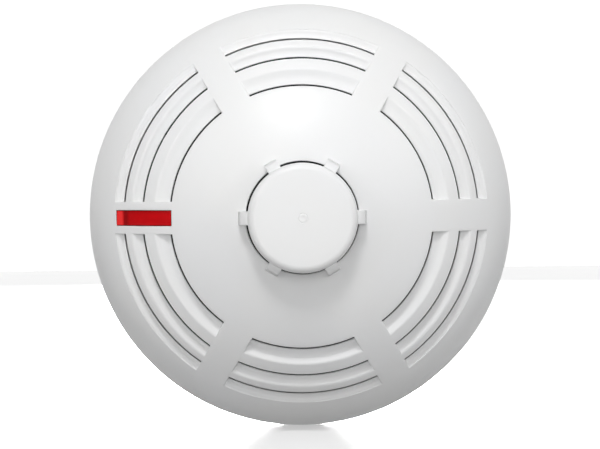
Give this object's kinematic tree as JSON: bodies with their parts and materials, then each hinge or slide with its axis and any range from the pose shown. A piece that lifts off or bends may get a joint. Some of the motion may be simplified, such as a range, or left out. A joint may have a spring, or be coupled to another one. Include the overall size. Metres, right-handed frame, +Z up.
{
  "type": "heat detector",
  "caption": "Round ceiling or wall heat detector: louvred domed head with a raised sensing cage and a red light window, on a twist-lock base with wiring clips.",
  "frame": {"origin": "centre of the base's flat back face, on the detector's axis", "axes": "+Y out of the back towards the wall or ceiling, so the face looks along -Y; +Z up with the detector hung upright on a wall; +X to the right seen from the front, with the light window on the -X side"},
  "size_m": [0.108, 0.0614, 0.108],
  "materials": {
    "cover_white": "satin moulded plastic",
    "housing_white": "fine textured moulded plastic",
    "guide_red": "clear red moulded plastic",
    "spring_metal": "rolled spring alloy, lightly brushed",
    "plated_steel": "zinc plated",
    "rivet_brass": "pressed brass",
    "tinned_wire": "tinned",
    "board_green": "satin solder mask",
    "shroud_grey": "matt moulded plastic",
    "bead_glass": "dipped resin bead",
    "sleeve_black": "matt sleeve",
    "led_red": "tinted lens",
    "chip_black": "moulded epoxy",
    "can_aluminium": "drawn can",
    "ceramic_tan": "fired ceramic"
  },
  "bodies": {
    "base": {"base_plate": "housing_white", "contact_clip_1": "spring_metal", "contact_clip_2": "spring_metal", "contact_clip_3": "spring_metal", "contact_clip_4": "spring_metal", "clamp_plates": "plated_steel", "clamp_screws": "plated_steel"},
    "head": {"front_cover": "cover_white", "sensing_cage": "cover_white", "light_guide": "guide_red", "head_body": "housing_white", "contact_strips": "spring_metal", "contact_rivets": "rivet_brass", "contact_pins": "tinned_wire", "cover_screws": "plated_steel", "board_screws": "plated_steel", "circuit_board": "board_green", "board_shroud": "shroud_grey", "thermistor_bead": "bead_glass", "thermistor_leads": "tinned_wire", "lead_sleeves": "sleeve_black", "status_led": "led_red", "control_chip": "chip_black", "chip_legs": "tinned_wire", "voltage_regulator": "chip_black", "surge_suppressor": "chip_black", "bridge_rectifier": "chip_black", "reservoir_capacitor": "can_aluminium", "reference_thermistor": "bead_glass", "chip_capacitors": "ceramic_tan", "chip_resistors": "chip_black"}
  },
  "joints": [
    {"name": "head_twist", "type": "hinge", "parent": "base", "child": "head", "pos_m": [0, 0, 0], "axis": [0, -1, 0], "range_deg": [0, 22]}
  ]
}
